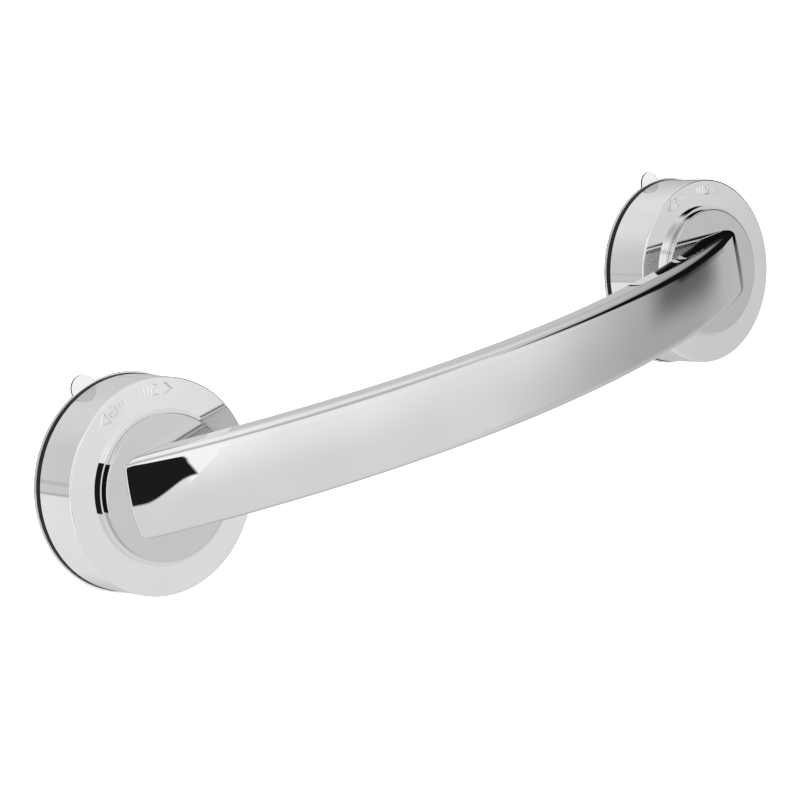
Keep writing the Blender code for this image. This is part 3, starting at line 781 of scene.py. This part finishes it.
def screw_mesh(head_radius, head_rear, head_front, tip):
    """A pan-head screw along Z, driven from behind: domed head, cross recess, thread and point."""
    core, head, point = THREAD_CORE, head_front - head_rear, 1.6 * THREAD_CORE
    dome = [(0.0, 0.0), (0.6, 0.02), (0.85, 0.12), (0.96, 0.3), (1.0, 0.5), (1.0, 1.0)]
    outline = [(r * head_radius, head_rear + z * head) for r, z in dome]
    outline += [(core, head_front), (core, tip - point), (0.3 * core, tip - 0.3 * core), (0.0, tip)]
    made = turned("screw", outline, SMALL, STEEL, Matrix())
    carve(made, "DIFFERENCE", *cross_recess(head_radius, head_rear, head))
    mesh = made.data
    bm = bmesh.new()
    bm.from_mesh(mesh)
    thread(bm, head_front + THREAD_PITCH, tip, point)
    bmesh.ops.recalc_face_normals(bm, faces=bm.faces)
    bm.to_mesh(mesh)
    bm.free()
    mesh.set_sharp_from_angle(angle=math.radians(30.0))
    bpy.data.objects.remove(made)
    return mesh


def place_screw(mesh, node, place):
    """One screw of a kind, in place of a CAD screw."""
    made = bpy.data.objects.new(node.replace("screw", "fixing"), mesh.copy())
    bpy.context.scene.collection.objects.link(made)
    made.matrix_world = place
    stands_for(made, "frame", "zinc_steel", node)


for unit_side in SIDES:
    unit_frame = axis_place(f"{unit_side}_lock_dial")
    base_plate(unit_side, unit_frame)
    lift_gear(unit_side, unit_frame)
    slip_washer(unit_side, unit_frame)
    lock_dial(unit_side, unit_frame)
    dial_ramps(unit_side, unit_frame)
    dial_marks(unit_side, unit_frame)
    boss(unit_side, unit_frame)
    rim_seal(unit_side, unit_frame)
    suction_cup(unit_side, unit_frame)


# The bar

bar_low, bar_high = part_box("bar_front_shell")
CAP_PLANE = front_of("left_boss_cap") + 0.02 * MM
BAR_HALF = (bar_high.z - bar_low.z) / 2.0
BAR_END = (bar_high.x - bar_low.x) / 2.0
BAR_RISE = bar_high.y - bar_low.y
BAR_RADIUS = (BAR_END**2 + BAR_RISE**2) / (2.0 * BAR_RISE)
ARC_Y = bar_low.y + BAR_RADIUS  # of the arc's vertical axis, behind the wall
BAR_THICK = 13.2 * MM
BAR_BACK = BAR_RADIUS - BAR_THICK
BAR_WALL = 2.2 * MM
BAR_CORNER = 5.0 * MM
BACK_CORNER = 0.9 * MM
BAR_CROWN = 0.45 * MM
SEAM = 0.25 * MM
COVER_HALF = BAR_HALF - BAR_WALL - SEAM
COVER_SINK = 0.4 * MM  # how far the cover lies below the shell's edges
END_ROUND = 0.5 * MM  # the bar's edge where it meets the cap
CORNER_STEPS = 14
CROWN_STEPS = 12
END_STEPS = 4


def arc_point(radius, height, share, plane):
    """A point of the bar: share runs from -1 at the left end to 1 at the right, on the plane."""
    turn = share * math.acos((ARC_Y + plane) / radius)
    return (radius * math.sin(turn), ARC_Y - radius * math.cos(turn), height)


def outer_section(inset):
    """The bar's outside from edge to edge as (radius, height) points, moved inwards by the inset."""
    corner, flat = BAR_CORNER - inset, BAR_HALF - BAR_CORNER
    face = BAR_RADIUS - BAR_CROWN - inset
    back, back_flat = BAR_BACK + inset, BAR_HALF - BACK_CORNER
    back_corner = max(0.1 * MM, BACK_CORNER - inset)
    points = [(back, -COVER_HALF - SEAM)]

    def quarter(radius, height, reach, start):
        for k in range(CORNER_STEPS + 1):
            t = start + QUARTER_TURN * k / CORNER_STEPS
            points.append((radius + reach * math.cos(t), height + reach * math.sin(t)))

    quarter(back + back_corner, -back_flat, back_corner, math.pi)
    quarter(face - corner, -flat, corner, -QUARTER_TURN)
    for k in range(1, CROWN_STEPS):
        height = flat * (2.0 * k / CROWN_STEPS - 1.0)
        points.append((face + BAR_CROWN * (1.0 - (height / flat) ** 2), height))
    quarter(face - corner, flat, corner, 0.0)
    quarter(back + back_corner, back_flat, back_corner, QUARTER_TURN)
    points.append((back, COVER_HALF + SEAM))
    return points


def inner_section():
    """The shell's hollow, from the upper edge round to the lower one."""
    front, half, bevel = BAR_RADIUS - BAR_WALL, BAR_HALF - BAR_WALL, 2.2 * MM
    upper = [(front - bevel, half), (front, half - bevel)]
    return upper + [(r, -z) for r, z in reversed(upper)]


def swept(name, section, material):
    """A solid of one section between the two caps, with its ends rounded over and closed."""

    def row(inset, share, rise):
        return [arc_point(r, z, share, CAP_PLANE + rise) for r, z in section(inset)]

    turns = [QUARTER_TURN * k / END_STEPS for k in range(END_STEPS + 1)]
    ends = [(END_ROUND * (1.0 - math.cos(t)), END_ROUND * (1.0 - math.sin(t))) for t in turns]
    rows = [row(inset, -1.0, rise) for inset, rise in reversed(ends)]
    rows += [row(0.0, 2.0 * k / SWEEP_STEPS - 1.0, END_ROUND) for k in range(1, SWEEP_STEPS)]
    rows += [row(inset, 1.0, rise) for inset, rise in ends]
    bm = bmesh.new()
    capped_loft(bm, rows)
    return finish_mesh(name, bm, material)


def bar_shell():
    """The bar's front shell."""
    piece = swept("bar_shell", lambda inset: outer_section(inset) + inner_section(), CHROME)
    stands_for(piece, "frame", "chrome_plate", "bar_front_shell")


def radial_place(degrees):
    """A frame at the arc's centre whose local Z points out through the bar."""
    turn = math.radians(degrees)
    outward, up = Vector((math.sin(turn), -math.cos(turn), 0.0)), Vector((0.0, 0.0, 1.0))
    axes = Matrix((up.cross(outward), up, outward)).transposed().to_4x4()
    return Matrix.Translation((0.0, ARC_Y, 0.0)) @ axes


def back_cover():
    """The strip that closes the bar's back, with a seat for each screw."""

    def section(inset):
        back, front, half = BAR_BACK + COVER_SINK + inset, BAR_BACK + BAR_WALL, COVER_HALF - inset
        corners = [(back, -half), (front, -half), (front, half), (back, half)]
        return rounded([(r, z, 0.25 * MM) for r, z in corners])

    piece = swept("bar_cover", section, BACK_CHROME)
    outside, seat, through = BAR_BACK - 1.0 * MM, BAR_BACK + 1.4 * MM, BAR_BACK + BAR_WALL + 1.0 * MM
    for turn in COVER_SCREW_TURNS:
        here = radial_place(turn)
        recess, hole = rod(SCREW_SEAT, outside, seat, here), rod(SCREW_BORE, outside, through, here)
        carve(piece, "DIFFERENCE", recess, hole)
    stands_for(piece, "frame", "chrome_plate", "bar_back_cover")
    foot, bore_end, top = BAR_BACK + BAR_WALL + 0.3 * MM, BAR_BACK + 9.1 * MM, BAR_RADIUS - 1.5 * MM
    outer = 4.3 * MM
    outline = rounded([
        (0.0, bore_end, 0.0), (SCREW_BORE, bore_end, 0.0), (SCREW_BORE, foot, 0.2 * MM),
        (outer, foot, 0.3 * MM), (outer, top, 0.0), (0.0, top, 0.0),
    ], closed=False)
    for number, turn in enumerate(COVER_SCREW_TURNS[1:3], 1):
        boss_piece = turned(f"bar_boss_{number}", outline, SMALL, CHROME, radial_place(turn))
        stands_for(boss_piece, "frame", "chrome_plate")


def all_screws():
    """Base screws, bar screws and the back cover's screws, with the blocks that hold the bar."""
    base = screw_mesh(2.9 * MM, head_rear=10.7 * MM, head_front=12.7 * MM, tip=27.5 * MM)
    ends = screw_mesh(3.2 * MM, head_rear=27.2 * MM, head_front=29.2 * MM, tip=37.2 * MM)
    head_rear, tip = BAR_BACK + 0.1 * MM, BAR_BACK + BAR_WALL + 6.6 * MM
    cover = screw_mesh(2.9 * MM, head_rear, head_rear + 1.0 * MM, tip)
    for side in SIDES:
        for number in range(1, 5):
            node = f"{side}_base_screw_{number}"
            place_screw(base, node, axis_place(node))
        for number in range(1, 3):
            node = f"{side}_bar_screw_{number}"
            place_screw(ends, node, axis_place(node))
        finish_node(f"{side}_end_block", GREY)
    for number, turn in enumerate(COVER_SCREW_TURNS, 1):
        place_screw(cover, f"cover_screw_{number}", radial_place(turn))


def finish_node(node, material):
    """Give a carried-over CAD node its material."""
    for material_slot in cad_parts[node].material_slots:
        material_slot.material = material


bar_shell()
back_cover()
all_screws()


# Stage, light and camera


def stage_floor():
    """A pale seamless floor, seen by the camera only; the studio's light comes from the world."""
    bm = bmesh.new()
    bmesh.ops.create_grid(bm, x_segments=1, y_segments=1, size=FLOOR_SIZE / 2.0)
    made = bpy.data.materials.new("pale_floor")
    made.use_nodes = True
    shader = made.node_tree.nodes["Principled BSDF"]
    shader.inputs["Base Color"].default_value = (0.9, 0.9, 0.9, 1.0)
    shader.inputs["Roughness"].default_value = 0.7
    shader.inputs["Emission Color"].default_value = (1.0, 1.0, 1.0, 1.0)
    shader.inputs["Emission Strength"].default_value = WHITE
    floor = finish_mesh("studio_floor", bm, made)
    floor.location.z = -FLOOR_DROP
    floor.visible_glossy = False
    floor.visible_diffuse = False
    floor.visible_transmission = False
    floor.visible_shadow = False


def smooth_step(value, start, end):
    """0 to 1 as the value goes from start to end."""
    share = min(1.0, max(0.0, (value - start) / (end - start)))
    return share * share * (3.0 - 2.0 * share)


def card_share(turn, up):
    """How dark the cloth is in a direction in degrees: it hangs in uneven folds with soft edges."""
    slant, roof_fade, foot_fade = 0.77, 4.5, 0.7
    roof = 34.0 - 16.0 * smooth_step(turn, 52.0, 92.0) + 9.5 * smooth_step(turn, 103.0, 113.0)
    roof -= 19.0 * smooth_step(turn, 122.0, 134.0)
    foot = -7.3 - 2.0 * smooth_step(turn, 74.0, 79.0) + 3.6 * smooth_step(turn, 97.0, 101.0)
    across = smooth_step(turn + slant * up, 63.0, 68.4) * smooth_step(turn, 138.0, 130.0)
    below = smooth_step(up - roof, roof_fade, -roof_fade)
    return across * below * smooth_step(up - foot, -foot_fade, foot_fade)


def dark_card():
    """Black cloth beside the camera, seen only in the plating; its edges fade."""
    bm = bmesh.new()
    shade = bm.verts.layers.float.new("shade")
    columns = []
    for step in range(CARD_COLUMNS + 1):
        turn = CARD_TURNS[0] + (CARD_TURNS[1] - CARD_TURNS[0]) * step / CARD_COLUMNS
        bearing = math.radians(turn)
        # What the bar mirrors turns twice as fast as its surface
        arc = math.radians(min(CARD_ARC[1], max(CARD_ARC[0], (turn - MIRROR_START) / 2.0)))
        seen_from = Vector((BAR_RADIUS * math.sin(arc), ARC_Y - BAR_RADIUS * math.cos(arc), MIRROR_HEIGHT))
        column = []
        for row in range(CARD_ROWS + 1):
            up = CARD_UPS[0] + (CARD_UPS[1] - CARD_UPS[0]) * row / CARD_ROWS
            flat, rise = math.cos(math.radians(up)), math.sin(math.radians(up))
            toward = Vector((math.sin(bearing) * flat, -math.cos(bearing) * flat, rise))
            corner = bm.verts.new(seen_from + toward * CARD_DISTANCE)
            corner[shade] = card_share(turn, up)
            column.append(corner)
        columns.append(column)
    for one, other in zip(columns, columns[1:]):
        for row in range(CARD_ROWS):
            bm.faces.new([one[row], other[row], other[row + 1], one[row + 1]])
    material = bpy.data.materials.new("dark_cloth")
    material.use_nodes = True
    material.node_tree.nodes.clear()
    nodes = Nodes(material.node_tree)
    share = nodes.add("ShaderNodeAttribute", attribute_name="shade").outputs["Fac"]
    clear = nodes.add("ShaderNodeBsdfTransparent")
    cloth = nodes.add("ShaderNodeEmission", {"Strength": CLOTH_GLOW})
    mixed = nodes.add("ShaderNodeMixShader", {0: share, 1: clear.outputs[0], 2: cloth.outputs[0]})
    nodes.add("ShaderNodeOutputMaterial", {"Surface": mixed.outputs[0]})
    card = finish_mesh("studio_card", bm, material)
    card.visible_camera = False
    card.visible_diffuse = False
    card.visible_transmission = False
    card.visible_shadow = False


def studio_world():
    """Soft studio surroundings by direction: degrees round from the front towards +X, and up.

    Each part of the room is a tone, mixed in where its soft edges enclose the direction.
    """
    world = bpy.data.worlds.new("studio")
    world.use_nodes = True
    world.node_tree.nodes.clear()
    nodes = Nodes(world.node_tree)
    direction = nodes.add("ShaderNodeTexCoord").outputs["Generated"]
    axes = nodes.add("ShaderNodeSeparateXYZ", {0: direction})
    x, y, z = axes.outputs
    bearing = nodes.math("DEGREES", nodes.math("ARCTAN2", x, nodes.math("MULTIPLY", y, -1.0)))
    up = nodes.math("DEGREES", nodes.math("ARCSINE", z))

    def mix(share, low, high):
        return nodes.add("ShaderNodeMix", {0: share, 2: low, 3: high}).outputs[0]

    def both(first, *others):
        for other in others:
            first = nodes.math("MULTIPLY", first, other)
        return first

    def facing(turn, start, end):
        """1 where the direction's bearing is near a turn, by the cosine between them."""
        apart = nodes.math("RADIANS", nodes.math("SUBTRACT", bearing, turn))
        return nodes.smooth(nodes.math("COSINE", apart), start, end)

    # Floor: darker to the right, where it has a dark smudge, and slightly brighter behind
    horizon = nodes.math("SUBTRACT", 0.97, nodes.math("MULTIPLY", facing(84.0, 0.6, 1.0), 0.43))
    horizon = nodes.math("ADD", horizon, nodes.math("MULTIPLY", facing(-140.0, 0.3, 1.0), 0.07))
    floor = mix(nodes.smooth(up, -12.0, -70.0), horizon, 0.96)
    floor = mix(facing(130.0, 0.65, 0.97), floor, 0.72)
    smudge = both(facing(80.5, 0.963, 1.0), nodes.smooth(up, -15.5, -9.5))
    floor = mix(smudge, floor, 0.17)

    # Ceiling: bright overhead, dimmer low down in front and on the left, with a backdrop behind
    low_ceiling = mix(facing(115.0, 0.35, 0.95), 0.66, 1.1)
    ceiling = mix(nodes.smooth(up, 54.0, 78.0), low_ceiling, 1.25)
    backdrop = mix(nodes.smooth(up, 22.0, 50.0), 0.8, 1.05)
    behind = facing(180.0, 0.45, 0.8)
    ceiling = mix(both(behind, nodes.smooth(up, 70.0, 40.0)), ceiling, backdrop)

    # Right: dim above the dark cloth
    right = facing(90.0, 0.62, 0.88)
    dim = mix(nodes.smooth(up, 16.0, 54.0), 0.42, 0.92)
    ceiling = mix(both(right, nodes.smooth(up, 58.0, 42.0)), ceiling, dim)

    # Skirting lines low in the backdrop
    line = both(nodes.smooth(up, 0.0, 0.5), nodes.smooth(up, 1.8, 1.0), behind)
    shelf = both(nodes.smooth(up, 5.6, 6.8), nodes.smooth(up, 8.8, 7.6), behind)
    ceiling = nodes.math("SUBTRACT", ceiling, nodes.math("MULTIPLY", line, 0.2))
    ceiling = nodes.math("SUBTRACT", ceiling, nodes.math("MULTIPLY", shelf, 0.13))

    above = nodes.smooth(up, -1.0, 0.6)
    light = mix(above, floor, ceiling)

    # Bright screens to the left
    left = both(facing(-80.0, 0.8, 0.95), nodes.smooth(up, -30.0, -10.0), nodes.smooth(up, 60.0, 40.0))
    light = mix(left, light, 1.35)

    # The big soft light in front
    panel = mix(nodes.smooth(bearing, -17.0, -5.0), 1.33, 1.25)
    panel = mix(nodes.smooth(bearing, 8.0, 24.0), panel, 1.13)
    panel = mix(nodes.smooth(bearing, 34.0, 68.0), panel, 0.62)
    in_panel = both(
        nodes.smooth(bearing, -75.0, -62.0), nodes.smooth(bearing, 74.0, 62.0),
        nodes.smooth(up, -18.0, -3.0), nodes.smooth(up, 49.0, 39.0),
    )
    light = mix(in_panel, light, panel)
    sweep = nodes.math("SUBTRACT", up, nodes.math("MULTIPLY", nodes.math("ADD", bearing, 17.2), 1.12))
    strip = both(
        nodes.smooth(bearing, -19.5, -18.5), nodes.smooth(bearing, -11.0, -14.0),
        nodes.smooth(sweep, -11.2, -10.6), nodes.smooth(up, 44.0, 30.0),
    )
    light = mix(strip, light, 1.34)

    # The dark camera stand
    edge = nodes.math("MULTIPLY", nodes.math("MINIMUM", nodes.math("ADD", up, 6.0), 0.0), 0.3)
    edge = nodes.math("ADD", bearing, edge)
    edge = nodes.math("ADD", edge, nodes.smooth(up, 0.0, 34.0, 0.0, 7.0))
    sill = nodes.math("SUBTRACT", up, nodes.smooth(bearing, -18.0, -26.0, -11.0, -15.5))
    stand = both(
        nodes.smooth(edge, -18.7, -19.3), nodes.smooth(bearing, -38.0, -34.0),
        nodes.smooth(sill, -0.4, 0.4), nodes.smooth(up, 37.0, 27.0),
    )
    light = mix(stand, light, 0.016)
    light = nodes.math("MULTIPLY", light, ROOM_GAIN)

    room = nodes.add("ShaderNodeBackground", {"Strength": light})
    plain = nodes.add("ShaderNodeBackground", {"Strength": WHITE})
    path = nodes.add("ShaderNodeLightPath").outputs
    # The camera sees plain white, also through the clear cups; what is mirrored is the room
    unmirrored = nodes.math("LESS_THAN", path["Glossy Depth"], 0.5)
    straight = nodes.math("MULTIPLY", path["Is Transmission Ray"], unmirrored)
    seen = nodes.math("MAXIMUM", path["Is Camera Ray"], straight)
    mixed = nodes.add("ShaderNodeMixShader", {0: seen, 1: room.outputs[0], 2: plain.outputs[0]})
    for background in (room, plain):
        background.inputs["Color"].default_value = (1.0, 1.0, 1.0, 1.0)
    nodes.add("ShaderNodeOutputWorld", {"Surface": mixed.outputs[0]})
    bpy.context.scene.world = world


def studio_camera():
    """The camera at the product shot's angle."""
    data = bpy.data.cameras.new("camera")
    data.lens = CAMERA_LENS
    data.clip_start = 0.01
    camera = bpy.data.objects.new("camera", data)
    bpy.context.scene.collection.objects.link(camera)
    flat = math.cos(CAMERA_ELEVATION)
    back = Vector((
        math.sin(CAMERA_AZIMUTH) * flat, -math.cos(CAMERA_AZIMUTH) * flat, math.sin(CAMERA_ELEVATION),
    ))
    turn = (-back).to_track_quat("-Z", "Y").to_matrix().to_4x4()
    place = Matrix.Translation(CAMERA_AIM + back * CAMERA_DISTANCE)
    camera.matrix_world = place @ turn @ Matrix.Rotation(CAMERA_ROLL, 4, "Z")
    bpy.context.scene.camera = camera


stage_floor()
dark_card()
studio_world()
studio_camera()
bpy.context.scene.view_settings.view_transform = "Standard"
